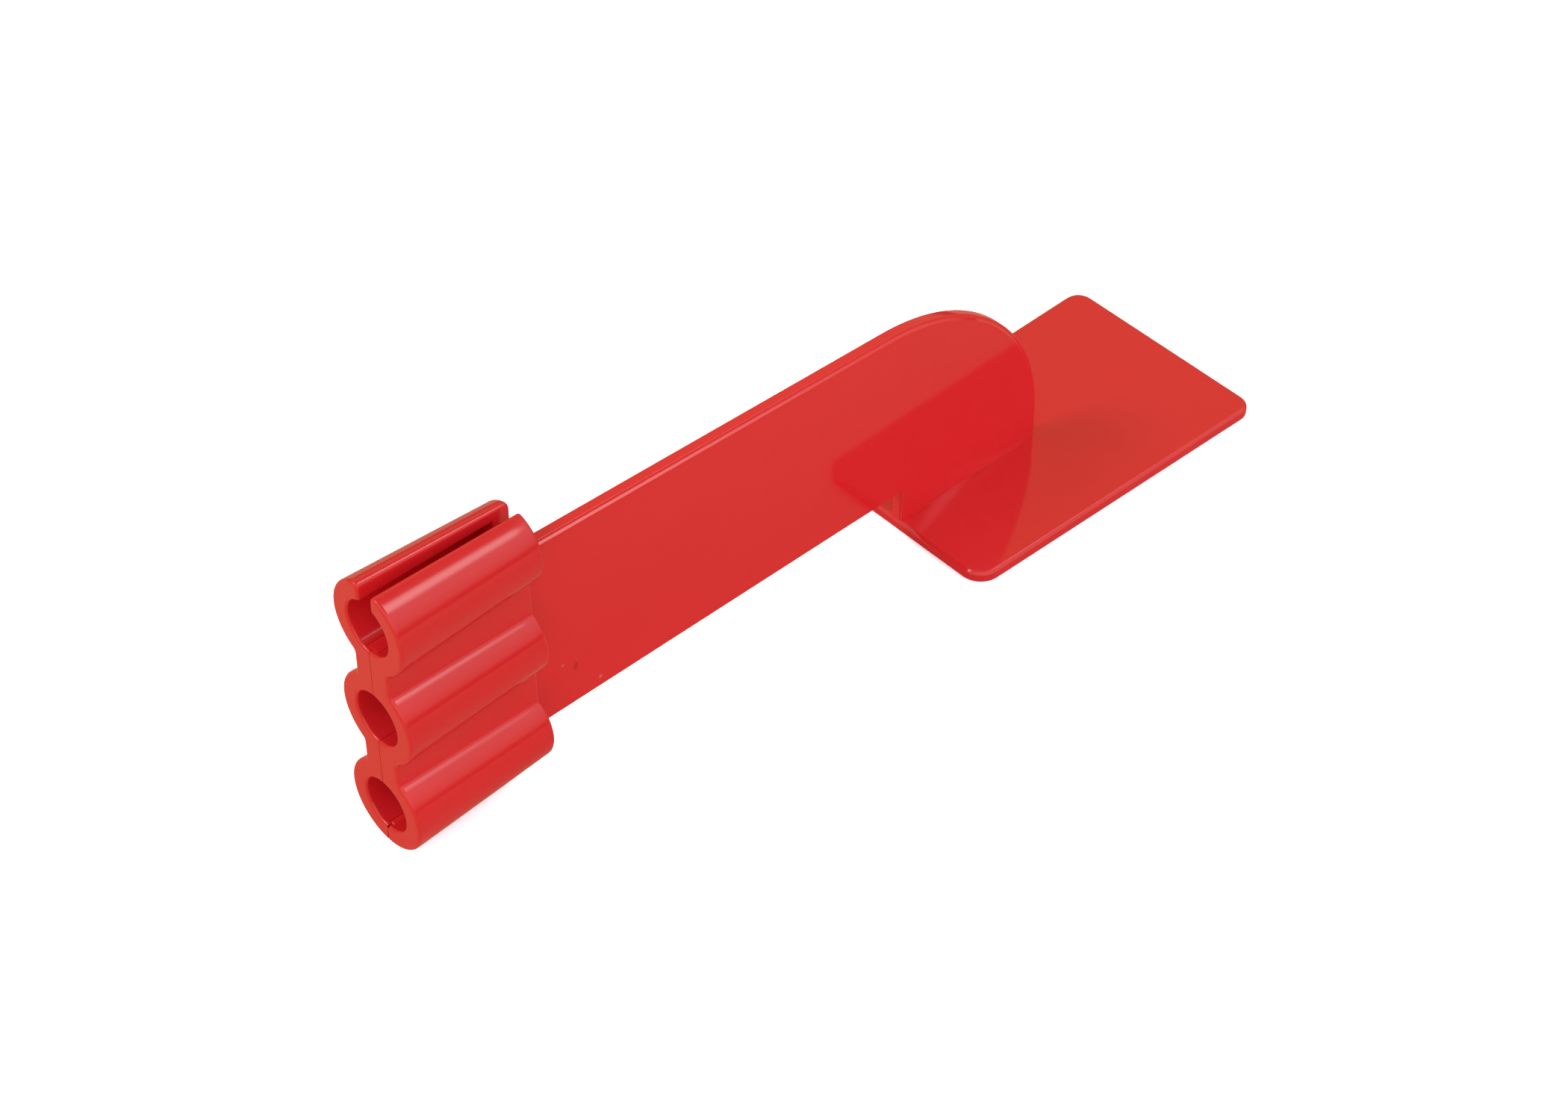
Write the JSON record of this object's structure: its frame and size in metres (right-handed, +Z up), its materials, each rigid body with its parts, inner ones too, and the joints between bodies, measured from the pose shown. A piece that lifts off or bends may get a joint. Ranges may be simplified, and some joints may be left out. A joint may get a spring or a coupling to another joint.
{
  "type": "slotted clip lever",
  "caption": "Glossy red plastic lever: a clip of stacked round sockets with a split top and a swinging jaw, a thin blade on edge and a flat rectangular rest plate.",
  "frame": {"origin": "under the middle of the whole lever, level with the underside of the rest plate", "axes": "+X along the blade from the clip to the rest plate, +Z up, +Y across to the swinging jaw's side"},
  "size_m": [0.1684, 0.041, 0.0551],
  "materials": {
    "clip_plastic": "glossy moulded, opaque bright red",
    "rib_plastic": "glossy moulded, opaque red",
    "blade_plastic": "glossy moulded, opaque bright red",
    "plate_plastic": "glossy moulded, opaque bright red"
  },
  "bodies": {
    "lever": {"near_jaw": "clip_plastic", "hinge_rib": "rib_plastic", "arm_blade": "blade_plastic", "rest_plate": "plate_plastic"},
    "swing_jaw": {"far_jaw": "clip_plastic"}
  },
  "joints": [
    {"name": "jaw_swing", "type": "hinge", "parent": "lever", "child": "swing_jaw", "pos_m": [-0.0706, 0, 0.0056], "axis": [-1, 0, 0], "range_deg": [0, 8], "stiffness_Nm_per_rad": 0.4}
  ]
}
